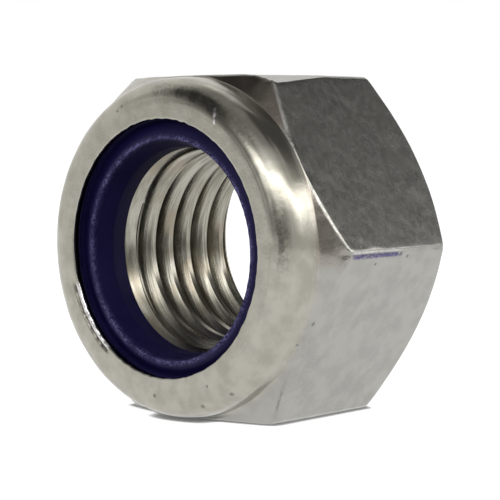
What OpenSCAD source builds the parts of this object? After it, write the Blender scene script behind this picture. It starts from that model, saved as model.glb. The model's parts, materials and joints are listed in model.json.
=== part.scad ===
// Hexagon lock nut with a nylon ring trapped under a rolled collar, lying on one of its flats.
// The thread axis runs along Y: the collar faces -Y and the bearing face +Y.
// Origin: on the ground, under the middle of the nut. All sizes are in millimetres.

/* [Hexagon] */
// Distance across the flats, which is the spanner size
across_flats = 46; // [44:0.5:54]
// Height of the hexagon, from the bearing face to the root of the collar
hexagon_h = 25.5; // [24:0.1:30]
// How much is worn off each edge between two flats, measured towards the axis
edge_wear = 0.2; // [0.1:0.05:0.8]
// How far inside the flats the bearing face ends
bearing_step = 1.1; // [0.5:0.1:2]
// Slope of the chamfer round the bearing face, in degrees from that face
bearing_slope = 40; // [20:1:45]
// Slope of the chamfer round the collar, in degrees from the bearing face
crown_slope = 32; // [20:1:40]

/* [Thread] */
// Nominal diameter of the thread
thread_d = 30; // [27:1:33]
// Pitch of the thread, which sets its minor diameter
thread_pitch = 3.5; // [1.5:0.5:4]
// How far the countersink at the bearing face opens past the thread
countersink_step = 2.2; // [0.5:0.1:3]

/* [Collar] */
// Height of the collar above the hexagon
collar_h = 5.3; // [4.5:0.1:7]
// How far inside the flats the collar starts
collar_step = 0.1; // [0.05:0.05:1]
// Lean of the collar's outside towards the axis, in degrees
collar_lean = 5; // [0:1:10]
// Radius of the shoulder that the rolling leaves on the collar
shoulder_radius = 3.3; // [1:0.1:4.5]
// Thickness of the lip that is rolled in over the nylon ring
lip_t = 1.15; // [0.8:0.05:1.6]
// How far the lip reaches in over the nylon ring
lip_reach = 2.4; // [1.5:0.1:3]

/* [Nylon ring] */
// Width of the nylon ring, from its gripping bore to its outside
ring_w = 5.75; // [5.2:0.05:6.5]
// Height of the nylon ring, from the seat in the collar to the underside of the lip
ring_h = 5.6; // [4.5:0.1:8]
// How far the ring stands in past the thread's nominal radius, to grip a bolt
ring_grip = 1.1; // [0.4:0.1:1.4]
// Slope of the flared lead above the ring's gripping bore, in degrees from the axis
ring_lead_slope = 14; // [5:1:20]
// Height of the flared lead
ring_lead_h = 2.4; // [1.5:0.1:2.8]
// Radius of the ring's upper inner rim
ring_rim_radius = 0.7; // [0.3:0.1:1.2]
// Gap all round between the ring and the wall of its pocket
ring_clearance = 0.05; // [0.02:0.01:0.2]

/* [Hidden] */
$fn = 96;

// Share of the pitch by which a basic metric thread's minor diameter is smaller
minor_share = 1.0825;
// How far the hexagon's prism runs past the turned outline at each end
overrun = 1;
// Angle between the middle of a flat and the edge next to it
half_side = 30;

apothem = across_flats / 2;
nut_h = hexagon_h + collar_h;
corner_r = apothem / cos(half_side);
edge_r = corner_r - edge_wear;

bearing_r = apothem - bearing_step;
collar_r = apothem - collar_step;

thread_r = thread_d / 2;
minor_r = (thread_d - minor_share * thread_pitch) / 2;
mouth_r = thread_r + countersink_step;

lip_under_z = nut_h - lip_t;
seat_z = lip_under_z - ring_h;

ring_bore_r = thread_r - ring_grip;
ring_outer_r = ring_bore_r + ring_w;
ring_rim_r = ring_bore_r + ring_lead_h * tan(ring_lead_slope) + ring_rim_radius * cos(ring_lead_slope);

// The ring's pocket in the collar, and the lip over it
pocket_r = ring_outer_r + ring_clearance;
lip_r = pocket_r - lip_reach;
tip_radius = lip_t / 2;
tip = [lip_r + tip_radius, nut_h - tip_radius];

// The shoulder is an arc that runs smoothly out of the collar's leaning side and into the flat top of the
// lip. On a narrow collar it is smaller, because it ends where the lip's own rounding begins.
// side_up and side_in are the side's direction and its normal, from the collar's root.
root = [collar_r, hexagon_h];
side_up = [-sin(collar_lean), cos(collar_lean)];
side_in = [-cos(collar_lean), -sin(collar_lean)];
shoulder_room = ([tip[0], nut_h] - root) * side_in / (1 - sin(collar_lean));
shoulder_r = min(shoulder_radius, shoulder_room);
side_run = (collar_h - shoulder_r * (1 - sin(collar_lean))) / cos(collar_lean);
shoulder_start = root + side_run * side_up;
shoulder_centre = shoulder_start + shoulder_r * side_in;

// Unit vector at an angle in the plane
function heading(angle) = [cos(angle), sin(angle)];

// Piece of a disc between two of its angles, to round an outline's corner. It ends a little under the
// chord between them, so that it overlaps the outline.
module disc_segment(centre, radius, from, to) {
    steps = 4;
    reach = 2 * radius;
    sink = radius / 10 * heading((from + to) / 2);
    from_end = centre + radius * heading(from);
    to_end = centre + radius * heading(to);
    intersection() {
        translate(centre) circle(r = radius);
        polygon([
            from_end - sink,
            from_end,
            for (i = [0 : steps]) centre + reach * heading(from + (to - from) * i / steps),
            to_end,
            to_end - sink
        ]);
    }
}

// Half section of the turned and rolled metal, radius along x and height along y
module metal_section() {
    polygon([
        [mouth_r, 0],
        [bearing_r, 0],
        [edge_r, (edge_r - bearing_r) * tan(bearing_slope)],
        [edge_r, hexagon_h - (edge_r - collar_r) * tan(crown_slope)],
        root,
        shoulder_start,
        [shoulder_centre[0], nut_h],
        [tip[0], nut_h],
        [tip[0], lip_under_z],
        [pocket_r, lip_under_z],
        [pocket_r, seat_z],
        [thread_r, seat_z],
        [minor_r, seat_z - (thread_r - minor_r)],
        [minor_r, mouth_r - minor_r]
    ]);
    disc_segment(shoulder_centre, shoulder_r, collar_lean, 90);
    disc_segment(tip, tip_radius, 90, 270);
}

// Half section of the nylon ring, radius along x and height along y
module ring_section() {
    rim = [ring_rim_r, lip_under_z - ring_rim_radius];
    lead_top = rim + ring_rim_radius * heading(180 + ring_lead_slope);
    polygon([
        [ring_bore_r, seat_z],
        [ring_outer_r, seat_z],
        [ring_outer_r, lip_under_z],
        [rim[0], lip_under_z],
        lead_top,
        [ring_bore_r, lead_top[1] - ring_lead_h]
    ]);
    disc_segment(rim, ring_rim_radius, 90, 180 + ring_lead_slope);
}

// Lays what is turned about the vertical axis down on a flat, with its top towards -Y
module lying_on_flat() {
    translate([0, nut_h / 2, apothem]) rotate([90, 0, 0]) children();
}

// The forged steel: the hexagon, its two chamfers, and the collar rolled in at the top
module nut_body() {
    color([0.66, 0.65, 0.62]) lying_on_flat() intersection() {
        translate([0, 0, -overrun]) cylinder(h = nut_h + 2 * overrun, r = corner_r, $fn = 6);
        rotate_extrude() metal_section();
    }
}

// The blue nylon ring that grips the bolt
module nylon_insert() {
    color([0.13, 0.11, 0.32]) lying_on_flat() rotate_extrude() ring_section();
}

nut_body();
nylon_insert();
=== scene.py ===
"""Nylon insert lock nut: the thread, the finish and the wear of its two pieces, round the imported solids.

The shapes are worked out in the nut's own frame, in millimetres: the thread's axis is z, the bearing face is
at z = 0, the collar is at the top, and angles run from the shared frame's +X towards its +Z. place() turns
that frame into the shared one, in metres.
"""
import json
import math

import bpy
import numpy as np
from mathutils import Matrix, Vector


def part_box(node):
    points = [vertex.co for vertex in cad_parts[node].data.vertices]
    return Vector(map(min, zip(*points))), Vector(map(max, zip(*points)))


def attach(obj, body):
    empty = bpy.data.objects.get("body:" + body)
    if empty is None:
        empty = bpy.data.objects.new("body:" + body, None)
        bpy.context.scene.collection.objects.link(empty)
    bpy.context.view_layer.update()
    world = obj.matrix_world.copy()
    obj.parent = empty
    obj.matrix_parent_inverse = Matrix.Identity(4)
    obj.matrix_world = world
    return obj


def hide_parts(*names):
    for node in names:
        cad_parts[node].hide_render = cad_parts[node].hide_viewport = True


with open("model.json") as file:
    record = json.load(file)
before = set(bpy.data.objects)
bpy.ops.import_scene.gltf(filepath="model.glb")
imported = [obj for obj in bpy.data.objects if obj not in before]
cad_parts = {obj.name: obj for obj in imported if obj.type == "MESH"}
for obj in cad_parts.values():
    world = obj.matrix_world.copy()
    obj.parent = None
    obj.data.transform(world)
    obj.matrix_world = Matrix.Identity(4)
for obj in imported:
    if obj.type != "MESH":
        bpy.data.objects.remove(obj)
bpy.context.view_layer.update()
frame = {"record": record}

MM = 0.001
FULL_TURN = 2 * math.pi

# Sizes that the frame gives
body_low, body_high = (np.array(corner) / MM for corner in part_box("nut_body"))
ring_low, ring_high = (np.array(corner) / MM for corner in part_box("nylon_insert"))
mount = {m["name"]: m for m in frame["record"]["mounts"]}
AXIS_HEIGHT = (body_low[2] + body_high[2]) / 2
BEARING_Y = body_high[1]
APOTHEM = (body_high[2] - body_low[2]) / 2
EDGE_R = body_high[0]
NUT_H = body_high[1] - body_low[1]
RING_R = ring_high[0]
SEAT_Z = BEARING_Y - ring_high[1]
LIP_UNDER_Z = BEARING_Y - ring_low[1]
MINOR_R = mount["thread"]["dims"]["r_mm"]
RING_BORE_R = mount["insert_bore"]["dims"]["r_mm"]

# Hexagon and its two chamfers
SIDE_TURN = FULL_TURN / 6
HEXAGON_H = 25.5
BEARING_R = APOTHEM - 1.1
BEARING_SLOPE = math.radians(40)
COLLAR_R = APOTHEM - 0.1
CROWN_SLOPE = math.radians(32)
EDGE_SOFTNESS = 0.03

# Thread, and the cone that opens it at each end
PITCH = 3.5
THREAD_R = 15.0
CREST_Z = 10.4675
CREST_HALF = 0.42
ROOT_ROUND = 0.22
FLANK_RISE = math.tan(math.radians(60))
MOUTH_R = 17.2
MOUTH_CONE_H = 2.1
SEAT_CONE_STEP = 0.05
CONE_SOFTNESS = 0.2

# Rows of the helix from the middle of a crest to the middle of a root, as shares of the pitch, and the row
# that lies on the corner between crest and flank
CREST_TO_ROOT = np.array([0, 0.06, CREST_HALF / PITCH, 0.15, 0.2, 0.26, 0.32, 0.38, 0.43, 0.475])
CORNER_ROW = 2
# How near its ends the helix stops, and how far out in the cones that corner still is sharp
END_MARGIN = 0.03
SHARP_DEPTH = 0.08

# Collar and the lip that is rolled in over the ring
COLLAR_LEAN = math.radians(5)
SHOULDER_R = 3.3
SHOULDER_POINTS = 16
CREASE_R = 20.1
CREASE_REACH = 0.4
CREASE_DROP = 0.02
BAND_DROP = 0.015
POCKET_R = RING_R + 0.05
SEAT_EDGE_R = THREAD_R + 0.3
LIP_R = 17.2
LIP_ROUND = 0.32
LIP_RAGGED = 0.05

# What the rolling left uneven. Each place is its middle, half width and fade in degrees, for window()
ROOT_R = 0.25
WIDER_ROOTS = [((285, 45, 30), 1.6), ((122, 24, 24), 2.6)]
FILLED_ROOT = (121, 9, 16)
FILL_OUT, FILL_UP = 1.4, 0.34
BEVEL = (120, 3, 14)
BEVEL_DROP = 0.5
CREASE = (45, 45, 30)
NARROW_BAND = (108, 22, 22)
NARROWING = 0.4
BURR = (216, 16, 4)
# The groove along the burr, as (distance out from the lip, depth)
BURR_GROOVE = [(0.85, 0), (0.66, 0.26), (0.5, 0.24), (0.38, 0)]

# Wear of the edges between the flats: its depth and what is added near the collar, its half width along the
# side, and the heights and the radii between which it comes in
HAMMER_DEPTH = 0.05
HAMMER_MORE = 0.09
HAMMER_WIDTH = 0.45
HAMMER_HEIGHTS = (13, 22.5)
HAMMER_RADII = (25.2, 26.0)

# Waviness of the forged outside, as (depth, wavelength, seed)
WAVES = [(0.02, 6.0, 8), (0.007, 2.2, 9)]

# The flat that a blow left on the top edge: the way it faces, the height where it starts, how fast it falls
# off towards the collar, and the height where it turns up again and how fast
BLOW_ANGLE = math.radians(79)
BLOW_START = 12.5
BLOW_FALL = 0.088
BLOW_END = 23.1
BLOW_RISE = 0.6

# Dents as (angle in degrees, radius, height, width, depth)
DENTS = [
    (60, 20.1, 30.7, 0.35, 0.04),
    (3, 26.3, 20.5, 0.6, 0.18),
    (-4, 25.9, 7.0, 0.9, 0.1),
    (66, 24.5, 24.0, 0.9, 0.12),
    (118, 25.0, 12.0, 1.1, 0.1),
    (208, 25.5, 8.5, 0.9, 0.12),
    (251, 24.2, 17.0, 1.0, 0.1),
    (305, 25.0, 5.0, 0.8, 0.1),
]

# Nylon ring. Its top, from the outside in, is (radius, depth under the lip, rounding, points on the arc),
# with a shallow dish. The flash ridge on its rim is (radius, height over the ridge's own line, points on the
# run after it).
RING_TOP = [
    (18.5, 0.01, 0.4, 4),
    (17.9, 0.7, 0.5, 4),
    (17.2, 1.0, 0.9, 6),
    (16.5, 0.66, 2.0, 5),
    (15.9, 0.32, 2.0, 5),
    (15.3, 0.2, 0, 1),
]
RIDGE = [(15.02, -0.06, 0), (14.94, 0, 0), (14.84, 0.01, 0), (14.74, -0.08, 0), (14.62, -0.34, 3)]
RIDGE_R = 14.8
RIDGE_DEPTH = 0.22
RIDGE_RAGGED = 0.03
RIM_R = 15.0
RIM_WIDTH = 0.28
RIM_Z = 28.8
LEAD_R, LEAD_Z = 14.5, 28.6
GRIP_H = 2.33
LAST_ROW_H = 0.12
# How far the bore lies below the nut's axis at the top, what is added at the seat, and the heights between
RING_SAG = 0.27
RING_SAG_MORE = 0.18
SAG_HEIGHTS = (24.5, 29)


def smooth_step(value, low, high):
    """0 below low, 1 above high, and a cubic ramp between them."""
    share = np.clip((value - low) / (high - low), 0, 1)
    return share * share * (3 - 2 * share)


def soft_max(first, second, width):
    """The larger of two values, with the corner where they cross rounded over about width."""
    return (first + second + np.sqrt((first - second) ** 2 + width * width)) / 2


def angle_gap(angle, centre):
    """Signed angle from centre to angle, both in radians, between minus and plus half a turn."""
    return (angle - centre + math.pi) % FULL_TURN - math.pi


def window(angle, centre, half_width, fade):
    """1 within half_width of centre and 0 beyond another fade, all in degrees, for angles in radians."""
    return 1 - smooth_step(np.abs(np.degrees(angle_gap(angle, math.radians(centre)))), half_width,
                           half_width + fade)


def band(value, start, full, fading, gone):
    """0 up to start, 1 from full to fading, and 0 again from gone on."""
    return smooth_step(value, start, full) * (1 - smooth_step(value, fading, gone))


def bell(value, centre, width):
    """A bell curve: 1 at its centre and about a third at width from it."""
    return np.exp(-((value - centre) / width) ** 2)


def ripple(points, wavelength, seed):
    """Even, repeatable waviness between about -1 and 1: a sum of plane waves in random directions."""
    waves = 14
    chance = np.random.default_rng(seed)
    heading = chance.normal(size=(waves, 3))
    heading /= np.linalg.norm(heading, axis=1)[:, None]
    number = FULL_TURN / wavelength * chance.uniform(0.6, 1.6, waves)
    phase = chance.uniform(0, FULL_TURN, waves)
    return np.sin(points @ (heading * number[:, None]).T + phase).sum(-1) / math.sqrt(waves) / 1.5


def place(points):
    """Points of the nut's own frame, in millimetres, as points of the shared frame, in metres."""
    x, y, z = np.moveaxis(points, -1, 0)
    return np.stack([x, BEARING_Y - z, AXIS_HEIGHT + y], -1) * MM


def turned_points(radius, angle, z):
    """Points at a radius, an angle and a height of the nut's own frame."""
    radius, angle, z = np.broadcast_arrays(radius, angle, z)
    return np.stack([radius * np.cos(angle), radius * np.sin(angle), z], -1)


def section_rows(corners):
    """Rows of a section whose corners are rounded, for all columns at once.

    Each corner is (radius, height, rounding, points on its arc, points on the straight run after it), with
    single values or one value for each column. An arc touches both of its straight runs: it starts and ends
    rounding / tan(half the corner's angle) from the corner, or nearer where a run is short.
    """
    columns = max(np.size(value) for corner in corners for value in corner[:3])
    point = np.array([[np.broadcast_to(c[0], columns), np.broadcast_to(c[1], columns)] for c in corners])
    rounding = np.array([np.broadcast_to(c[2], columns) for c in corners])
    back, ahead = np.roll(point, 1, axis=0) - point, np.roll(point, -1, axis=0) - point
    back_length, ahead_length = np.linalg.norm(back, axis=1), np.linalg.norm(ahead, axis=1)
    back, ahead = back / back_length[:, None], ahead / ahead_length[:, None]
    half = np.arccos(np.clip((back * ahead).sum(1), -1, 1)) / 2
    reach = np.minimum(rounding / np.tan(half), 0.45 * np.minimum(back_length, ahead_length))
    radius = reach * np.tan(half)
    centre = point + (back + ahead) / (2 * np.cos(half) * np.cos(half))[:, None] * reach[:, None]
    start, end = point + back * reach[:, None], point + ahead * reach[:, None]
    rows = []
    for k, (_, _, _, arc_points, run_points) in enumerate(corners):
        if arc_points == 1:
            rows.append(point[k])
        else:
            turn = math.pi - 2 * half[k]
            for share in np.linspace(0, 1, arc_points):
                rows.append(centre[k] + (np.sin((1 - share) * turn) * (start[k] - centre[k])
                                         + np.sin(share * turn) * (end[k] - centre[k])) / np.sin(turn))
        if k + 1 < len(corners):
            last, following = rows[-1], start[k + 1] if corners[k + 1][3] > 1 else point[k + 1]
            for share in np.linspace(0, 1, run_points + 2)[1:-1]:
                rows.append(last + (following - last) * share)
    return np.array(rows)


def grid_quads(index):
    """Quads between the neighbouring rows and columns of a grid of vertex numbers that closes round."""
    right = np.roll(index, -1, axis=1)
    return np.stack([index[:-1], right[:-1], right[1:], index[1:]], -1).reshape(-1, 4)


def mesh_object(name, points, quads, triangles=np.zeros((0, 3), int)):
    """A smooth-shaded object from arrays of points in metres, quads and triangles."""
    mesh = bpy.data.meshes.new(name)
    corners = np.concatenate([quads.ravel(), triangles.ravel()])
    sides = np.concatenate([np.full(len(quads), 4), np.full(len(triangles), 3)])
    mesh.vertices.add(len(points))
    mesh.vertices.foreach_set("co", points.ravel())
    mesh.loops.add(len(corners))
    mesh.loops.foreach_set("vertex_index", corners)
    mesh.polygons.add(len(sides))
    mesh.polygons.foreach_set("loop_start", np.concatenate([[0], np.cumsum(sides)[:-1]]))
    mesh.polygons.foreach_set("use_smooth", np.ones(len(sides), bool))
    mesh.update(calc_edges=True)
    mesh.validate()
    piece = bpy.data.objects.new(name, mesh)
    bpy.context.scene.collection.objects.link(piece)
    return piece


def sharpen(piece, corners):
    """Makes the edges between neighbouring corner vertices sharp, so that the shading breaks along them."""
    ends = np.zeros(2 * len(piece.data.edges), int)
    piece.data.edges.foreach_get("vertices", ends)
    sharp = np.isin(ends, corners).reshape(-1, 2).all(1)
    layer = piece.data.attributes.new("sharp_edge", "BOOLEAN", "EDGE")
    layer.data.foreach_set("value", sharp)


def paint(piece, name, values):
    """Keeps one value for each vertex as a named attribute that the material reads."""
    layer = piece.data.attributes.new(name, "FLOAT", "POINT")
    layer.data.foreach_set("value", np.ascontiguousarray(values, dtype=np.float32))


def body_columns():
    """Angles of the body's columns: even along the flats, and closer at the six edges between them."""
    near_edge = np.array([-1.7, -1.3, -1.0, -0.82, -0.7, -0.4, 0, 0.4, 0.7, 0.82, 1.0, 1.3, 1.7])
    along_flat = np.linspace(2.5, 57.5, 53)
    side = np.concatenate([near_edge, along_flat])
    return np.radians(np.concatenate([60 * k + side for k in range(6)]) % 360)


def hexagon_radius(angle):
    """Radius of the hexagon's side: apothem / cos(angle from the flat's middle), cut at the worn edge."""
    flat = APOTHEM / np.cos(angle % SIDE_TURN - SIDE_TURN / 2)
    return -soft_max(-flat, -EDGE_R, EDGE_SOFTNESS)


def crown_edge_height(side_r):
    """Height where a flat ends and the cone round the collar starts, for a side's radius."""
    return HEXAGON_H - (side_r - COLLAR_R) * math.tan(CROWN_SLOPE)


def thread_radius(z, angle):
    """Radius of the bore's wall: 60 degree flanks between flat crests, cut by a cone at each end."""
    from_crest = (z - CREST_Z - PITCH * angle / FULL_TURN + PITCH / 2) % PITCH - PITCH / 2
    depth = FLANK_RISE * np.maximum(np.abs(from_crest) - CREST_HALF, 0)
    depth = -soft_max(-depth, MINOR_R - THREAD_R, ROOT_ROUND)
    cone = np.maximum(MOUTH_R - z, THREAD_R + SEAT_CONE_STEP - (SEAT_Z - z))
    return soft_max(MINOR_R + depth, cone, CONE_SOFTNESS)


def body_section(angle):
    """Rows of the nut's outside and of the ring's pocket, from the low cone of the bore to its high one."""
    side_r = hexagon_radius(angle)
    bearing_edge_z = (side_r - BEARING_R) * math.tan(BEARING_SLOPE)
    crown_edge_z = crown_edge_height(side_r) - BEVEL_DROP * window(angle, *BEVEL)
    fill = window(angle, *FILLED_ROOT)
    root_round = ROOT_R + sum(more * window(angle, *where) for where, more in WIDER_ROOTS)

    shoulder_z = NUT_H - SHOULDER_R
    shoulder_centre = (COLLAR_R - (shoulder_z - HEXAGON_H) * math.tan(COLLAR_LEAN)
                       - SHOULDER_R / math.cos(COLLAR_LEAN))
    last_lean = math.acos((CREASE_R + CREASE_REACH - shoulder_centre) / SHOULDER_R)
    crease_z = shoulder_z + math.sqrt(SHOULDER_R ** 2 - (CREASE_R - shoulder_centre) ** 2)
    crease_z = crease_z - CREASE_DROP * window(angle, *CREASE)
    band_r = CREASE_R - CREASE_REACH - NARROWING * window(angle, *NARROW_BAND)
    band_z = NUT_H - BAND_DROP

    around_lip = turned_points(LIP_R, angle, 0)
    lip_r = LIP_R + LIP_RAGGED * ripple(around_lip, 1.6, seed=3)
    burr = window(angle, *BURR) * (0.85 + 0.3 * ripple(around_lip, 0.9, seed=4))
    return section_rows([
        (MOUTH_R - MOUTH_CONE_H, MOUTH_CONE_H, 0, 1, 3),
        (MOUTH_R, 0, 0.2, 4, 3),
        (BEARING_R, 0, 0.3, 4, 4),
        (side_r, bearing_edge_z, 0.4, 5, 28),
        (side_r, crown_edge_z, 0.75, 8, 8),
        (COLLAR_R + FILL_OUT * fill, HEXAGON_H + FILL_UP * fill, root_round, 6, 2),
        *((shoulder_centre + SHOULDER_R * math.cos(lean), shoulder_z + SHOULDER_R * math.sin(lean), 0, 1, 0)
          for lean in np.linspace(COLLAR_LEAN, last_lean, SHOULDER_POINTS)),
        (CREASE_R, crease_z, 0.3, 3, 0),
        (band_r, band_z, 0.3, 3, 5),
        *((lip_r + out, band_z - sunk * burr, 0, 1, 0) for out, sunk in BURR_GROOVE),
        (lip_r - 0.04 * burr, band_z - 0.25 * burr, LIP_ROUND - 0.2 * burr, 6, 1),
        (lip_r, LIP_UNDER_Z, LIP_ROUND, 5, 1),
        (POCKET_R, LIP_UNDER_Z, 0.1, 3, 2),
        (POCKET_R, SEAT_Z, 0.1, 3, 2),
        (SEAT_EDGE_R, SEAT_Z, 0, 1, 0),
    ])


def nut_body_mesh():
    """The steel: rows round the outside and the pocket, and a grid along the thread's helix in the bore.

    The helix grid has one row for each share of the pitch and rises by one pitch in a turn, so its last
    column meets its first one a whole pitch higher. Rows past either end lie on that end's circle. The result
    is points, quads, triangles and the vertices on the crests' corners.
    """
    angle = np.sort(body_columns())
    columns = len(angle)
    rows = body_section(angle)
    outside = turned_points(rows[:, 0], angle, rows[:, 1])
    outside_index = np.arange(outside.shape[0] * columns).reshape(-1, columns)

    low_z, high_z = rows[0, 1, 0], rows[-1, 1, 0]
    share = np.concatenate([CREST_TO_ROOT, 1 - CREST_TO_ROOT[:0:-1]])
    low_turn = math.floor((low_z - CREST_Z) / PITCH) - 1
    high_turn = math.ceil((high_z - CREST_Z) / PITCH) + 1
    rise = (np.arange(low_turn, high_turn)[:, None] + share).ravel()
    z = CREST_Z + PITCH * (rise[:, None] + angle / FULL_TURN)
    inner = (z > low_z + END_MARGIN) & (z < high_z - END_MARGIN)
    index = np.where(z <= low_z + END_MARGIN, outside_index[0], outside_index[-1])
    index[inner] = outside_index.size + np.arange(inner.sum())
    wall = thread_radius(z, angle)
    bore = turned_points(wall, angle, z)[inner]

    ahead = np.concatenate([index[:, 1:], np.roll(index[:, :1], -len(share), axis=0)], axis=1)
    quads = np.stack([index[1:], ahead[1:], ahead[:-1], index[:-1]], -1)[:-len(share)].reshape(-1, 4)
    same_behind, same_ahead = quads[:, 0] == quads[:, 3], quads[:, 1] == quads[:, 2]
    whole = quads[~same_behind & ~same_ahead]
    triangles = np.concatenate([quads[same_behind & ~same_ahead][:, :3],
                                quads[~same_behind & same_ahead][:, [0, 1, 3]]])
    points = np.concatenate([worn(outside).reshape(-1, 3), bore])
    on_corner = np.isin(np.arange(len(rise)) % len(share), [CORNER_ROW, len(share) - CORNER_ROW])
    corners = index[on_corner[:, None] & inner & (wall < MINOR_R + SHARP_DEPTH)]
    return points, np.concatenate([grid_quads(outside_index), whole]), triangles, corners


def surface_normals(grid):
    """Unit normals of a grid of points that closes round: the cross product of its two directions."""
    along = np.gradient(grid, axis=0)
    across = np.roll(grid, -1, axis=1) - np.roll(grid, 1, axis=1)
    normal = np.cross(across, along)
    return normal / np.maximum(np.linalg.norm(normal, axis=-1, keepdims=True), 1e-12)


def worn(grid):
    """The outside with its worn edges, waviness and dents pressed in, and the blow's flat cut off."""
    radius = np.hypot(grid[..., 0], grid[..., 1])
    angle = np.arctan2(grid[..., 1], grid[..., 0])
    z = grid[..., 2]
    from_edge = EDGE_R * angle_gap(angle, np.round(angle / SIDE_TURN) * SIDE_TURN)
    hammered = HAMMER_DEPTH + HAMMER_MORE * smooth_step(z, *HAMMER_HEIGHTS)
    hammered = hammered * smooth_step(radius, *HAMMER_RADII) * bell(from_edge, 0, HAMMER_WIDTH)
    depth = hammered * (0.75 + 0.45 * ripple(grid, 1.7, seed=5))
    for wave_depth, wavelength, seed in WAVES:
        depth = depth + wave_depth * (1 + ripple(grid, wavelength, seed))
    for dent_angle, dent_r, dent_z, width, dent_depth in DENTS:
        spot = turned_points(dent_r, math.radians(dent_angle), dent_z)
        depth = depth + dent_depth * np.exp(-((grid - spot) ** 2).sum(-1) / width ** 2)
    outer = smooth_step(radius, 19, 20) * smooth_step(z, 0.1, 0.6)
    grid = grid - surface_normals(grid) * (np.maximum(depth, 0) * outer)[..., None]

    facing = np.array([math.cos(BLOW_ANGLE), math.sin(BLOW_ANGLE), 0])
    reach = EDGE_R * math.cos(BLOW_ANGLE - SIDE_TURN) - BLOW_FALL * np.maximum(z - BLOW_START, 0)
    reach = reach + BLOW_RISE * np.maximum(z - BLOW_END, 0)
    return grid - facing * np.maximum(grid @ facing - reach, 0)[..., None]


def nylon_ring_mesh():
    """The ring: a turned section, its bore a little low, with a fuzzy flash ridge round its upper rim."""
    angle = np.linspace(0, FULL_TURN, 300, endpoint=False)
    ragged = ripple(turned_points(RIDGE_R, angle, 0), 1.3, seed=21)
    ridge_z = LIP_UNDER_Z - RIDGE_DEPTH + RIDGE_RAGGED * ragged
    rows = section_rows([
        (RING_BORE_R, SEAT_Z, 0.1, 3, 6),
        (RING_R, SEAT_Z, 0.2, 3, 3),
        (RING_R, LIP_UNDER_Z, 0.1, 3, 3),
        *((radius, LIP_UNDER_Z - depth, rounding, arc_points, 0)
          for radius, depth, rounding, arc_points in RING_TOP),
        *((radius, ridge_z + over, 0, 1, run_points) for radius, over, run_points in RIDGE),
        (LEAD_R, LEAD_Z, 0.3, 3, 6),
        (RING_BORE_R, SEAT_Z + GRIP_H, 1.2, 4, 5),
        (RING_BORE_R, SEAT_Z + LAST_ROW_H, 0, 1, 0),
    ])
    radius, z = rows[:, 0], rows[:, 1]
    sag = RING_SAG + RING_SAG_MORE * (1 - smooth_step(z, *SAG_HEIGHTS))
    inner = 1 - smooth_step(radius, 15.5, 17.2)
    grid = turned_points(radius - sag * inner * np.sin(angle), angle, z)
    index = np.arange(grid.shape[0] * grid.shape[1]).reshape(grid.shape[:2])
    # Share of the pale flash ridge round the rim, which is also a painted highlight
    rim = bell(radius, RIM_R, RIM_WIDTH) * (z > RIM_Z)
    return grid.reshape(-1, 3), grid_quads(np.concatenate([index, index[:1]])), rim.ravel()


def add(tree, kind, inputs=None, **settings):
    """A shader node with its settings, whose inputs are values or the sockets that feed them."""
    node = tree.nodes.new(kind)
    for key, value in settings.items():
        setattr(node, key, value)
    for key, value in (inputs or {}).items():
        if isinstance(value, bpy.types.NodeSocket):
            tree.links.new(value, node.inputs[key])
        else:
            node.inputs[key].default_value = value
    return node


def math_node(tree, operation, first, second):
    """The result of one operation on two values or sockets."""
    return add(tree, "ShaderNodeMath", {0: first, 1: second}, operation=operation).outputs[0]


def product(tree, first, second):
    """Two values or sockets multiplied."""
    return math_node(tree, "MULTIPLY", first, second)


def blend(tree, share, first, second):
    """A share of one value added to the rest of another."""
    return math_node(tree, "ADD", product(tree, first, share), product(tree, second, 1 - share))


def vector_node(tree, operation, output, inputs):
    """One output of one operation on vectors."""
    return add(tree, "ShaderNodeVectorMath", inputs, operation=operation).outputs[output]


def ranged(tree, value, low, high, to_low=0.0, to_high=1.0):
    """A value moved smoothly from one range to another."""
    inputs = {"Value": value, "From Min": low, "From Max": high, "To Min": to_low, "To Max": to_high}
    return add(tree, "ShaderNodeMapRange", inputs, interpolation_type="SMOOTHSTEP").outputs["Result"]


def mixed(tree, share, first, second):
    """One colour run into another by a share."""
    node = add(tree, "ShaderNodeMix", data_type="RGBA", clamp_factor=True)
    for name, value in (("Factor_Float", share), ("A_Color", first), ("B_Color", second)):
        socket = next(i for i in node.inputs if i.identifier == name)
        if isinstance(value, bpy.types.NodeSocket):
            tree.links.new(value, socket)
        else:
            socket.default_value = value
    return next(o for o in node.outputs if o.identifier == "Result_Color")


def noise(tree, vector, size, detail=3.0, roughness=0.55):
    """Noise whose features are about size millimetres."""
    inputs = {"Vector": vector, "Scale": 1 / (size * MM), "Detail": detail, "Roughness": roughness}
    return add(tree, "ShaderNodeTexNoise", inputs).outputs["Fac"]


def painted(tree, name):
    """The value that paint() kept on the mesh under a name."""
    return add(tree, "ShaderNodeAttribute", attribute_name=name).outputs["Fac"]


def bumped(tree, height, depth, normal=None):
    """The normal of a surface with a height field, depth in millimetres."""
    inputs = {"Height": height, "Distance": depth * MM, "Strength": 1.0}
    if normal is not None:
        inputs["Normal"] = normal
    return add(tree, "ShaderNodeBump", inputs).outputs["Normal"]


def new_material(name):
    """A material with only a Principled shader, as (material, tree, shader)."""
    material = bpy.data.materials.new(name)
    material.use_nodes = True
    tree = material.node_tree
    shader = next(n for n in tree.nodes if n.type == "BSDF_PRINCIPLED")
    return material, tree, shader


# A tool's streaks: the radius at which their length is measured, and how much a step along the axis counts
STREAK_R = 20.0
STREAK_CLIMB = 0.7
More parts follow.
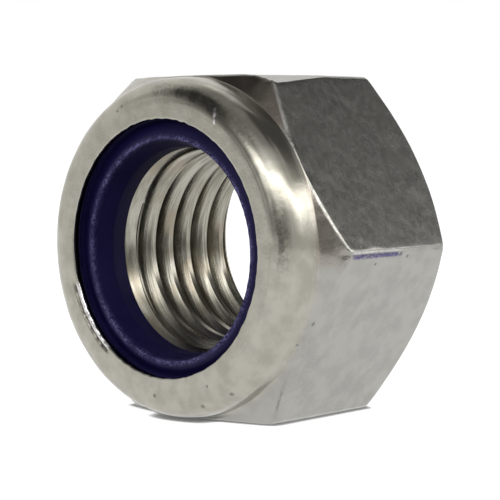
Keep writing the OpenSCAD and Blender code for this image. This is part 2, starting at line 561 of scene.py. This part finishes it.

# How ragged small marks are, and the marks: pits and rubbed spots as (angle in degrees, radius, height,
# size). The rubbed spots are painted bright as glints; the last ones, side by side, are a nick across the
# shoulder.
RAGGED = 0.3
PITS = [
    (-22.7, 23.2, 24.8, 0.45), (-93.8, 19.7, 30.8, 0.4), (-71.2, 21.5, 30.05, 0.42),
    (-57.1, 21.8, 29.75, 0.45), (-3.4, 25.7, 17.5, 0.3), (-64.4, 19.4, 30.8, 0.3),
    (-30.7, 22.9, 25.9, 0.3), (-0.9, 26.3, 12.9, 0.3), (-1.8, 26.1, 11.3, 0.35),
    (111.2, 20.3, 30.7, 0.32), (113.8, 20, 30.75, 0.3), (28, 25.1, 9.5, 0.24),
]
RUBBED_GLINTS = [
    (1.9, 26.08, 20.89, 0.3), (-117, 17.45, 30.6, 0.2),
    *((62.1 - 0.25 * k, 20.85 - 0.13 * k, 30.47 + 0.03 * k, 0.27) for k in range(13)),
]

# Dark, rough patches on the collar, as (place, inner and outer radius, share)
STAINS = [
    ((78, 14, 6), 20.2, 21.6, 0.5),
    ((50, 6, 7), 20.4, 21.6, 0.4),
    ((6, 8, 7), 20.4, 21.6, 0.4),
    ((232, 12, 14), 20.9, 22.2, 0.25),
]
# Where the edge between flat and cone is stained, as (place, share)
STAINED_EDGES = [((-50, 4, 4), 0.7), ((36, 4, 5), 0.9), ((14, 14, 8), 0.5)]

# Places of dirt and marks, and of painted shade and painted highlights, each as its middle, half width and
# fade in degrees, for window()
RIGHT_SOIL = (15, 14, 8)
TOP_SOIL = (65, 19, 5)
SOILED_FLAT = (76, 12, 4)
# Painted shade: the cone's top under the collar, and the collar's foot by the floor
SHADED_TOP = (73, 10, 4)
SHADED_FOOT = (266, 14, 10)
DUSTY_FLAT = (30, 27, 3)
CREASE_SHADE = (42, 28, 20)
BRIGHT_BURR = (216, 16, 3)
LIT_EDGE = (51, 8, 4)
RUBBED_HIGHLIT_EDGE = (0.3, 0.15, 0.25)
BRUISED_EDGE = (-0.9, 0.45, 0.4)
# The bruised and rubbed stretch of the edge at the right, whose rubbed line is painted bright as a highlight:
# its heights, and the radii between which it starts
RUBBED_HEIGHTS = (12.3, 13.5, 22.3, 23)
RUBBED_RADII = (25.8, 26.1)

# Colours of the steel. A pair is the two ends of a mottled range.
FLAT_TINTS = (0.35, 0.346, 0.325, 1), (0.402, 0.398, 0.374, 1)
DUSTY_TINTS = (0.455, 0.453, 0.43, 1), (0.27, 0.272, 0.258, 1)
WARM_TINTS = (0.362, 0.348, 0.297, 1), (0.448, 0.432, 0.372, 1)
CUT_TINTS = (0.26, 0.247, 0.203, 1), (0.44, 0.425, 0.37, 1)
CLOUD_TINT = (0.43, 0.42, 0.385, 1)
BROWN_CUT_TINT = (0.31, 0.27, 0.207, 1)
SOIL_TINT = (0.255, 0.2, 0.15, 1)
# Near black for painted shade: under the lip, by the burr, in the thread's roots, in the crease and at the
# foot
PAINTED_SHADE_TINT = (0.012, 0.012, 0.012, 1)
BRUISE_TINT = (0.11, 0.10, 0.21, 1)
STAIN_TINT = (0.10, 0.10, 0.082, 1)
PIT_TINT = (0.09, 0.085, 0.08, 1)
# Near white for rubbed metal that is also a painted highlight: the burr, the edge lines, the nick and spots
RUBBED_HIGHLIGHT_TINT = (0.85, 0.84, 0.84, 1)

# Colours of the nylon
NYLON_TINTS = (0.007, 0.005, 0.047, 1), (0.010, 0.007, 0.06, 1)
# Pale for the rim's scratched flash ridge, which also paints its highlight
FLASH_AND_HIGHLIGHT_TINT = (0.2, 0.185, 0.42, 1)


def axis_point(tree):
    """Object coordinates from the middle of the thread's axis, in metres."""
    object_point = add(tree, "ShaderNodeTexCoord").outputs["Object"]
    return vector_node(tree, "ADD", 0, {0: object_point, 1: (0, 0, -AXIS_HEIGHT * MM)})


def turned_streaks(tree, point, along, across):
    """Noise drawn out round the axis, as a cutting tool leaves it: along and across in millimetres."""
    part = add(tree, "ShaderNodeSeparateXYZ", {0: point}).outputs
    round_part = add(tree, "ShaderNodeCombineXYZ", {0: part[0], 1: 0.0, 2: part[2]}).outputs[0]
    radius = vector_node(tree, "LENGTH", "Value", {0: round_part})
    heading = vector_node(tree, "NORMALIZE", 0, {0: round_part})
    rounded = vector_node(tree, "SCALE", 0, {0: heading, "Scale": STREAK_R / along})
    climb = product(tree, part[1], STREAK_CLIMB)
    level = math_node(tree, "DIVIDE", math_node(tree, "ADD", radius, climb), across * MM)
    lifted = add(tree, "ShaderNodeCombineXYZ", {0: 0.0, 1: level, 2: 0.0}).outputs[0]
    vector = vector_node(tree, "ADD", 0, {0: rounded, 1: lifted})
    inputs = {"Vector": vector, "Scale": 1.0, "Detail": 4.0, "Roughness": 0.6}
    return add(tree, "ShaderNodeTexNoise", inputs).outputs["Fac"]


def marks(tree, point, shake, spots):
    """1 inside small ragged marks and 0 outside, for spots of (angle in degrees, radius, height, size)."""
    inside = 0.0
    ragged = product(tree, math_node(tree, "SUBTRACT", shake, 0.5), RAGGED * MM)
    for degrees, radius, z, size in spots:
        angle = math.radians(degrees)
        centre = (radius * math.cos(angle) * MM, (BEARING_Y - z) * MM, radius * math.sin(angle) * MM)
        apart = vector_node(tree, "DISTANCE", "Value", {0: point, 1: centre})
        near = ranged(tree, math_node(tree, "ADD", apart, ragged), 0.4 * size * MM, size * MM, 1.0, 0.0)
        inside = math_node(tree, "MAXIMUM", near, inside)
    return inside


def zinc_plated_steel():
    """Bright zinc on forged steel: warm grey, mottled in colour and gloss, with grain, dirt and marks, and
    with painted shade and painted highlights.
    """
    material, tree, shader = new_material("zinc_plated_steel")
    point = axis_point(tree)
    cloud = noise(tree, point, 5.0, 3, 0.5)
    mottle = noise(tree, point, 2.6, 5, 0.5)
    swell = noise(tree, point, 2.4, 1, 0.4)
    fleck = noise(tree, point, 1.1, 3, 0.6)
    grain = noise(tree, point, 0.4, 3, 0.6)
    streak = turned_streaks(tree, point, 9.0, 0.22)
    burnish = painted(tree, "burnish")
    turned = painted(tree, "turned")

    flat = mixed(tree, ranged(tree, mottle, 0.35, 0.65), *FLAT_TINTS)
    dusty = mixed(tree, ranged(tree, blend(tree, 0.6, fleck, grain), 0.4, 0.6), *DUSTY_TINTS)
    flat = mixed(tree, painted(tree, "dust"), flat, dusty)
    warm = mixed(tree, ranged(tree, blend(tree, 0.2, streak, mottle), 0.36, 0.64), *WARM_TINTS)
    uncut = mixed(tree, painted(tree, "warm"), flat, warm)
    uncut = mixed(tree, ranged(tree, cloud, 0.3, 0.7, 0.0, 0.3), uncut, CLOUD_TINT)
    cut = mixed(tree, ranged(tree, streak, 0.35, 0.65), *CUT_TINTS)
    cut = mixed(tree, ranged(tree, cloud, 0.5, 0.65, 0.0, 0.7), cut, BROWN_CUT_TINT)
    clean = mixed(tree, ranged(tree, turned, 0.45, 1.0), uncut, cut)

    soiled = mixed(tree, painted(tree, "soil"), clean, SOIL_TINT)
    # Painted shade, near black, where shade falls: under the lip, in roots and creases, and at the foot
    shaded_colour = mixed(tree, painted(tree, "grime"), soiled, PAINTED_SHADE_TINT)
    ragged = ranged(tree, grain, 0.3, 0.52)
    bruised = mixed(tree, product(tree, painted(tree, "bruise"), ragged), shaded_colour, BRUISE_TINT)
    patchy = ranged(tree, blend(tree, 0.5, mottle, grain), 0.4, 0.6)
    stained = mixed(tree, product(tree, painted(tree, "stain"), patchy), bruised, STAIN_TINT)
    pitted = mixed(tree, product(tree, marks(tree, point, grain, PITS), 0.6), stained, PIT_TINT)
    # Painted highlights: rubbed spots, the burr and lines along the edges made near white
    glints = marks(tree, point, grain, RUBBED_GLINTS)
    bare = math_node(tree, "MAXIMUM", product(tree, painted(tree, "bare"), ragged), glints)
    tree.links.new(mixed(tree, bare, pitted, RUBBED_HIGHLIGHT_TINT), shader.inputs["Base Color"])
    shader.inputs["Metallic"].default_value = 1.0

    dull = ranged(tree, mottle, 0.3, 0.7, 0.28, 0.25)
    glossy = ranged(tree, mottle, 0.3, 0.7, 0.22, 0.15)
    tree.links.new(mixed(tree, burnish, dull, glossy), shader.inputs["Roughness"])

    not_turned = math_node(tree, "SUBTRACT", 1.0, turned)
    forged = product(tree, not_turned, ranged(tree, burnish, 0.0, 1.0, 1.0, 0.45))
    wavy = bumped(tree, product(tree, swell, forged), 0.06)
    grainy = bumped(tree, product(tree, grain, forged), 0.016, wavy)
    lined = bumped(tree, product(tree, streak, turned), 0.025, grainy)
    tree.links.new(lined, shader.inputs["Normal"])
    return material


def blue_nylon():
    """Dark blue nylon, smooth in its bore, with a scratched flash ridge round the rim, painted paler as its
    highlight.
    """
    material, tree, shader = new_material("blue_nylon")
    point = axis_point(tree)
    cloud = noise(tree, point, 3.0)
    patch = noise(tree, point, 2.0)
    grain = noise(tree, point, 0.35, 4, 0.7)
    rim = painted(tree, "rim")
    body = mixed(tree, ranged(tree, cloud, 0.3, 0.7), *NYLON_TINTS)
    fibre = product(tree, ranged(tree, grain, 0.38, 0.62), ranged(tree, patch, 0.42, 0.6, 0.4, 1.2))
    # The rim's flash ridge: scratched, and painted pale as a highlight
    colour = mixed(tree, product(tree, rim, fibre), body, FLASH_AND_HIGHLIGHT_TINT)
    tree.links.new(colour, shader.inputs["Base Color"])
    tree.links.new(ranged(tree, grain, 0.3, 0.7, 0.42, 0.55), shader.inputs["Roughness"])
    shader.inputs["Specular IOR Level"].default_value = 0.16
    soft = bumped(tree, cloud, 0.05)
    tree.links.new(bumped(tree, product(tree, grain, rim), 0.05, soft), shader.inputs["Normal"])
    return material


def seen_directly(tree):
    """1 for rays that show the background itself: from the camera, in gloss and through glass."""
    path = add(tree, "ShaderNodeLightPath").outputs
    gloss = math_node(tree, "MAXIMUM", path["Is Camera Ray"], path["Is Glossy Ray"])
    return math_node(tree, "MAXIMUM", gloss, path["Is Transmission Ray"])


def studio_direction(azimuth, elevation):
    """Unit vector towards an azimuth and elevation in degrees: 0 is +Y, 90 is +X."""
    turn, lift = math.radians(azimuth), math.radians(elevation)
    return np.array([math.sin(turn) * math.cos(lift), math.cos(turn) * math.cos(lift), math.sin(lift)])


# The tent's cloth, and its lit wall at the left: where the wall starts and how that moves with the square of
# the elevation, where it ends and how much earlier it does so higher up, and the heights where its top fades
CLOTH_LEVEL = 0.31
WALL_LEVEL = 0.58
WALL_START, WALL_START_CURVE, WALL_START_FADE = -140, 0.012, 9
WALL_END, WALL_END_FADE = -22, 8
WALL_END_EARLIER, EARLIER_HEIGHTS = 10, (28, 38)
WALL_TOP = (52, 72)

# The long softbox at the right, in degrees along it and up. Its middle line is an arch, which sinks in steps
# of (degrees, where the step starts, where it is done).
SOFTBOX_LEVEL = 3.2
SOFTBOX_WIDTH = 8.5
SOFTBOX_MIDDLE = 25
ARCH_TOP, ARCH_WIDTH, ARCH_RISE = 112, 38, 14
ARCH_STEPS = [(5, 40, 55), (8, 125, 165), (17, 175, 212)]
# Where it starts, how much later it does so for each degree above a height, and where it ends
SOFTBOX_START, START_FADE = 28, 10
START_SLANT, SLANT_FROM = 1.2, 20
SOFTBOX_END = (188, 206)
# Where its upper half fades out, along it and above its middle line, and the places where it is covered from
# below, each with the heights between which the cover ends
UPPER_END, UPPER_FADE = (145, 165), (3, 10)
SOFTBOX_COVERS = [((163, 12, 10), (9, 19)), ((35, 12, 6), (8, 17))]

# Other patches of the cloth, as (added level, place round the tent, elevations where the patch starts, is
# full, fades and ends): a haze over the softbox, light for the upper rim, light under the softbox, and two
# dark gaps, at the back and at the front left
TENT_PATCHES = [
    (0.5, (103, 55, 14), (20, 35, 42, 66)),
    (0.45, (-28, 20, 12), (48, 57, 68, 78)),
    (0.38, (72, 36, 28), (-90, -80, 14, 30)),
    (-0.22, (30, 38, 24), (18, 38, 72, 86)),
    (-0.25, (-141, 19, 8), (12, 24, 54, 68)),
]


def softbox_level(azimuth, elevation):
    """Share of the softbox's brightness: a bell curve about its middle height, from its start to its end.

    The middle follows a low arch that sinks towards the end. The softbox starts later the higher up, its
    upper half fades early, and its lower half is covered near either end.
    """
    turn = np.radians(azimuth)
    right_turn = azimuth % 360
    middle = SOFTBOX_MIDDLE + ARCH_RISE * bell(np.minimum(right_turn, ARCH_TOP), ARCH_TOP, ARCH_WIDTH)
    for sunk, step_start, step_end in ARCH_STEPS:
        middle = middle - sunk * smooth_step(right_turn, step_start, step_end)
    start = SOFTBOX_START + START_SLANT * np.maximum(elevation - SLANT_FROM, 0)
    share = bell(elevation, middle, SOFTBOX_WIDTH) * band(right_turn, start, start + START_FADE, *SOFTBOX_END)
    share = share * (1 - smooth_step(elevation - middle, *UPPER_FADE) * smooth_step(right_turn, *UPPER_END))
    for where, heights in SOFTBOX_COVERS:
        share = share * (1 - window(turn, *where) * (1 - smooth_step(elevation, *heights)))
    return share


def tent_level(azimuth, elevation):
    """Brightness of the tent towards an azimuth and an elevation, both in degrees.

    The cloth is even, with a lit wall at the left, a long softbox at the right and a few soft patches. The
    wall gets shorter with height at both its ends.
    """
    wall_start = WALL_START + WALL_START_CURVE * elevation ** 2
    wall_end = WALL_END - WALL_END_EARLIER * smooth_step(elevation, *EARLIER_HEIGHTS)
    wall = band(azimuth, wall_start - WALL_START_FADE, wall_start + WALL_START_FADE,
                wall_end - WALL_END_FADE, wall_end + WALL_END_FADE)
    wall = wall * (1 - smooth_step(elevation, *WALL_TOP))
    level = CLOTH_LEVEL + WALL_LEVEL * wall + SOFTBOX_LEVEL * softbox_level(azimuth, elevation)
    for added, where, elevations in TENT_PATCHES:
        level = level + added * window(np.radians(azimuth), *where) * band(elevation, *elevations)
    return level


def show_in_gloss_only(piece):
    """Hides a piece of the studio from the camera and from all light but reflections."""
    piece.visible_camera = False
    piece.visible_diffuse = False
    piece.visible_transmission = False
    piece.visible_shadow = False


def light_tent():
    """The cloth tent round the nut, which only gloss shows: a dome of radius 1 m over the floor."""
    azimuth, elevation = np.meshgrid(np.arange(-180, 180, 2.5), np.linspace(-1.3, 89.9, 74))
    turn, lift = np.radians(azimuth), np.radians(elevation)
    grid = np.stack([np.sin(turn) * np.cos(lift), np.cos(turn) * np.cos(lift), np.sin(lift)], -1)
    grid[..., 2] += AXIS_HEIGHT * MM
    index = np.arange(azimuth.size).reshape(azimuth.shape)
    tent = mesh_object("tent", grid.reshape(-1, 3), grid_quads(index))
    paint(tent, "level", tent_level(azimuth, elevation).ravel())
    material = bpy.data.materials.new("tent_cloth")
    material.use_nodes = True
    tree = material.node_tree
    tree.nodes.clear()
    cloth = {"Color": (1.0, 0.99, 0.97, 1), "Strength": painted(tree, "level")}
    light = add(tree, "ShaderNodeEmission", cloth)
    out = add(tree, "ShaderNodeOutputMaterial")
    tree.links.new(light.outputs[0], out.inputs["Surface"])
    tent.data.materials.append(material)
    show_in_gloss_only(tent)


def dark_card(azimuth, distance, width, height):
    """A black card that stands on the floor facing the nut, and that only gloss shows."""
    across = np.array([math.cos(math.radians(azimuth)), -math.sin(math.radians(azimuth)), 0]) * width / 2
    foot = studio_direction(azimuth, 0) * distance
    top = np.array([0, 0, height])
    corners = np.array([foot - across, foot + across, foot + across + top, foot - across + top])
    card = mesh_object("card", corners, np.array([[0, 1, 2, 3]]))
    material, _, shader = new_material("card_paper")
    shader.inputs["Base Color"].default_value = (0.02, 0.02, 0.02, 1)
    shader.inputs["Emission Color"].default_value = (1, 1, 1, 1)
    shader.inputs["Emission Strength"].default_value = 0.08
    card.data.materials.append(material)
    show_in_gloss_only(card)


def soft_lamp(name, azimuth, elevation, distance, width, height, radiance):
    """An area lamp that faces the nut. Its power is radiance times pi times its area."""
    data = bpy.data.lights.new(name, "AREA")
    data.shape = "RECTANGLE"
    data.size, data.size_y = width, height
    data.energy = radiance * math.pi * width * height
    lamp = bpy.data.objects.new(name, data)
    out = Vector(studio_direction(azimuth, elevation))
    lamp.location = out * distance + Vector((0, 0, AXIS_HEIGHT * MM))
    lamp.rotation_euler = out.to_track_quat("Z", "Y").to_euler()
    lamp.visible_camera = False
    lamp.visible_glossy = False
    bpy.context.scene.collection.objects.link(lamp)


# The floor: half its side in metres, how near the nut must be for a contact shade in millimetres, and how
# much the floor shines in view: what openness adds to it, and the least
FLOOR_HALF = 4.0
CONTACT_REACH = 1.0
OPEN_GLOW = 0.82
LEAST_GLOW = 0.1


def white_floor():
    """A large pale floor at the nut's foot, whose shadow stays while its own colour shows as white."""
    signs = np.array([[-1, -1, 0], [1, -1, 0], [1, 1, 0], [-1, 1, 0]])
    floor = mesh_object("floor", FLOOR_HALF * signs, np.array([[0, 1, 2, 3]]))
    material, tree, shader = new_material("floor_paper")
    shader.inputs["Base Color"].default_value = (0.35, 0.35, 0.35, 1)
    shader.inputs["Roughness"].default_value = 0.8
    shader.inputs["Specular IOR Level"].default_value = 0.0
    near = {"Distance": CONTACT_REACH * MM}
    open_share = add(tree, "ShaderNodeAmbientOcclusion", near, samples=4).outputs["AO"]
    in_view = add(tree, "ShaderNodeLightPath").outputs["Is Camera Ray"]
    shade = product(tree, math_node(tree, "SUBTRACT", open_share, 1.0), in_view)
    open_glow = ranged(tree, shade, -0.5, 0.0, 0.0, OPEN_GLOW)
    glow = math_node(tree, "ADD", open_glow, product(tree, in_view, LEAST_GLOW))
    strength = product(tree, glow, seen_directly(tree))
    white = add(tree, "ShaderNodeEmission", {"Color": (1, 1, 1, 1), "Strength": strength}).outputs[0]
    both = add(tree, "ShaderNodeAddShader", {0: shader.outputs[0], 1: white}).outputs[0]
    out = next(n for n in tree.nodes if n.type == "OUTPUT_MATERIAL")
    tree.links.new(both, out.inputs["Surface"])
    floor.data.materials.append(material)


def white_world():
    """A plain world: white wherever it is seen, and a soft even light otherwise."""
    world = bpy.data.worlds.new("studio")
    world.use_nodes = True
    bpy.context.scene.world = world
    tree = world.node_tree
    tree.nodes.clear()
    fill = add(tree, "ShaderNodeBackground", {"Color": (1, 1, 1, 1), "Strength": 0.55}).outputs[0]
    white = add(tree, "ShaderNodeBackground", {"Color": (1, 1, 1, 1), "Strength": 1.0}).outputs[0]
    both = add(tree, "ShaderNodeMixShader", {0: seen_directly(tree), 1: fill, 2: white}).outputs[0]
    out = add(tree, "ShaderNodeOutputWorld")
    tree.links.new(both, out.inputs["Surface"])


# The photograph's camera, by a fit to the nut's own edges: where it stands in metres, how it is turned in
# degrees, and its focal length in millimetres on a sensor 36 mm wide
CAMERA_PLACE = (0.16092, -0.17409, 0.03776)
CAMERA_AZIMUTH = 42.39
CAMERA_ELEVATION = 3.78
CAMERA_ROLL = -0.214
FOCAL_LENGTH = 123.15


def photo_camera():
    """The camera at the photograph's place."""
    data = bpy.data.cameras.new("camera")
    data.sensor_width = 36.0
    data.lens = FOCAL_LENGTH
    data.clip_start, data.clip_end = 0.01, 20
    camera = bpy.data.objects.new("camera", data)
    camera.matrix_world = (Matrix.Translation(CAMERA_PLACE)
                           @ Matrix.Rotation(math.radians(CAMERA_AZIMUTH), 4, "Z")
                           @ Matrix.Rotation(math.radians(90 - CAMERA_ELEVATION), 4, "X")
                           @ Matrix.Rotation(math.radians(CAMERA_ROLL), 4, "Z"))
    bpy.context.scene.collection.objects.link(camera)
    bpy.context.scene.camera = camera


def steel_zones(points):
    """How much of each finish, dirt, mark, painted shade and painted highlight the steel's vertices carry, by
    the material's names, 0 to 1.
    """
    radius = np.hypot(points[:, 0], points[:, 1])
    angle = np.arctan2(points[:, 1], points[:, 0])
    z = points[:, 2]
    side_r = hexagon_radius(angle)
    off_flat = smooth_step(side_r - radius, 0.02, 0.2)
    bore = 1 - smooth_step(radius, THREAD_R + 0.2, THREAD_R + 0.6)
    collar = smooth_step(z, HEXAGON_H + 0.1, HEXAGON_H + 0.7) * smooth_step(radius, 19.4, 19.8)
    off_collar = smooth_step(radius, COLLAR_R - 0.2, COLLAR_R + 0.05)
    below_root = off_collar * (1 - smooth_step(z, HEXAGON_H, HEXAGON_H + 0.4))
    cone = below_root * off_flat * smooth_step(z, HEXAGON_H - 3.5, HEXAGON_H - 2)

    crown_edge = bell(z, crown_edge_height(side_r), 0.15) * smooth_step(radius - side_r, -0.5, -0.25)
    crown_edge = crown_edge * smooth_step(side_r, COLLAR_R + 0.1, COLLAR_R + 0.3)
    side_edge = band(z, *RUBBED_HEIGHTS) * smooth_step(radius, *RUBBED_RADII)
    # Painted shade along the crease between the band and the shoulder
    crease_shade = bell(radius, CREASE_R - 0.12, 0.13) * window(angle, *CREASE_SHADE) * (z > NUT_H - 0.8)
    burr = window(angle, *BRIGHT_BURR) * smooth_step(z, NUT_H - 0.4, NUT_H - 0.3)

    soil = cone * window(angle, *RIGHT_SOIL) * (0.5 - 0.2 * smooth_step(radius, 23.6, 25.8))
    top = below_root * window(angle, *TOP_SOIL) * np.maximum(off_flat, window(angle, *SOILED_FLAT))
    soil = np.maximum(soil, 0.55 * top * smooth_step(z, HEXAGON_H - 2.2, HEXAGON_H - 1.7))

    # Painted shade on the lip's wall over the ring, where the gap to the ring lies in shade
    shade_under_lip = band(z, LIP_UNDER_Z - 0.65, LIP_UNDER_Z - 0.35, LIP_UNDER_Z + 0.75, LIP_UNDER_Z + 1)
    shade_under_lip = shade_under_lip * band(radius, LIP_R - 0.2, LIP_R, LIP_R + 0.8, LIP_R + 1.8)
    # Painted shade along the collar's foot, next to the floor
    foot = smooth_step(radius, COLLAR_R - 0.6, COLLAR_R - 0.3) * window(angle, *SHADED_FOOT)
    foot = foot * smooth_step(z, HEXAGON_H - 0.4, HEXAGON_H - 0.2)
    # Painted shade, near black: under the lip, by the burr, in the thread's roots, at the cone's top, foot
    # and crease
    grime = np.maximum.reduce([
        shade_under_lip,
        0.8 * burr * bell(radius, LIP_R + 0.7, 0.15),
        0.35 * bore * smooth_step(radius, MINOR_R + 1.3, MINOR_R + 1.8),
        0.2 * top * smooth_step(z, HEXAGON_H - 2, HEXAGON_H - 1.5) * window(angle, *SHADED_TOP),
        0.7 * foot,
        0.8 * crease_shade,
    ])

    stain = crown_edge * np.maximum.reduce([share * window(angle, *where) for where, share in STAINED_EDGES])
    for where, inner, outer, share in STAINS:
        ring = band(radius, inner - 0.3, inner, outer, outer + 0.5) * (z > HEXAGON_H + 2.5)
        stain = np.maximum(stain, share * window(angle, *where) * ring)
    # Rubbed metal, painted bright as highlights: the burr, a line on the edge at the right and one on the
    # cone's edge
    bare = np.maximum.reduce([
        burr * (1 - smooth_step(radius, LIP_R + 0.4, LIP_R + 0.55)),
        0.6 * side_edge * window(angle, *RUBBED_HIGHLIT_EDGE),
        0.35 * crown_edge * window(angle, *LIT_EDGE),
    ])
    return {
        "burnish": np.maximum.reduce([collar, 0.6 * bore, 0.6 * cone, crown_edge]),
        "stain": stain,
        "dust": 0.7 * window(angle, *DUSTY_FLAT) * smooth_step(radius, COLLAR_R, COLLAR_R + 0.1),
        "warm": np.maximum(bore, smooth_step(z, HEXAGON_H - 0.3, HEXAGON_H + 0.5)),
        "turned": np.maximum(bore, 0.2 * smooth_step(z, HEXAGON_H - 0.2, HEXAGON_H + 0.3)),
        "soil": soil * (1 - crown_edge),
        "grime": grime,
        "bruise": side_edge * window(angle, *BRUISED_EDGE),
        "bare": bare,
    }


def build_nut():
    """The steel nut with its thread, in place of the plain solid."""
    points, quads, triangles, corners = nut_body_mesh()
    nut = mesh_object("forged_nut", place(points), quads, triangles)
    sharpen(nut, corners)
    for name, values in steel_zones(points).items():
        paint(nut, name, values)
    nut.data.materials.append(zinc_plated_steel())
    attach(nut, "root")
    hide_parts("nut_body")


def build_ring():
    """The nylon ring, in place of the plain solid."""
    points, quads, rim = nylon_ring_mesh()
    ring = mesh_object("nylon_ring", place(points), quads)
    paint(ring, "rim", rim)
    ring.data.materials.append(blue_nylon())
    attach(ring, "root")
    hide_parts("nylon_insert")


def build_studio():
    """Floor, background, lamps and the tent that the bright metal needs to show its form."""
    white_floor()
    white_world()
    light_tent()
    dark_card(azimuth=162, distance=0.35, width=0.15, height=0.04)
    for k, azimuth in enumerate((190, 155, 120, 85)):
        soft_lamp(f"strip_lamp_{k}", azimuth, 21, distance=0.8, width=0.49, height=0.13, radiance=2.3)
    soft_lamp("top_lamp", -35, 73, distance=0.9, width=0.5, height=0.25, radiance=0.9)


build_nut()
build_ring()
build_studio()
photo_camera()

scene = bpy.context.scene
scene.view_settings.view_transform = "Standard"
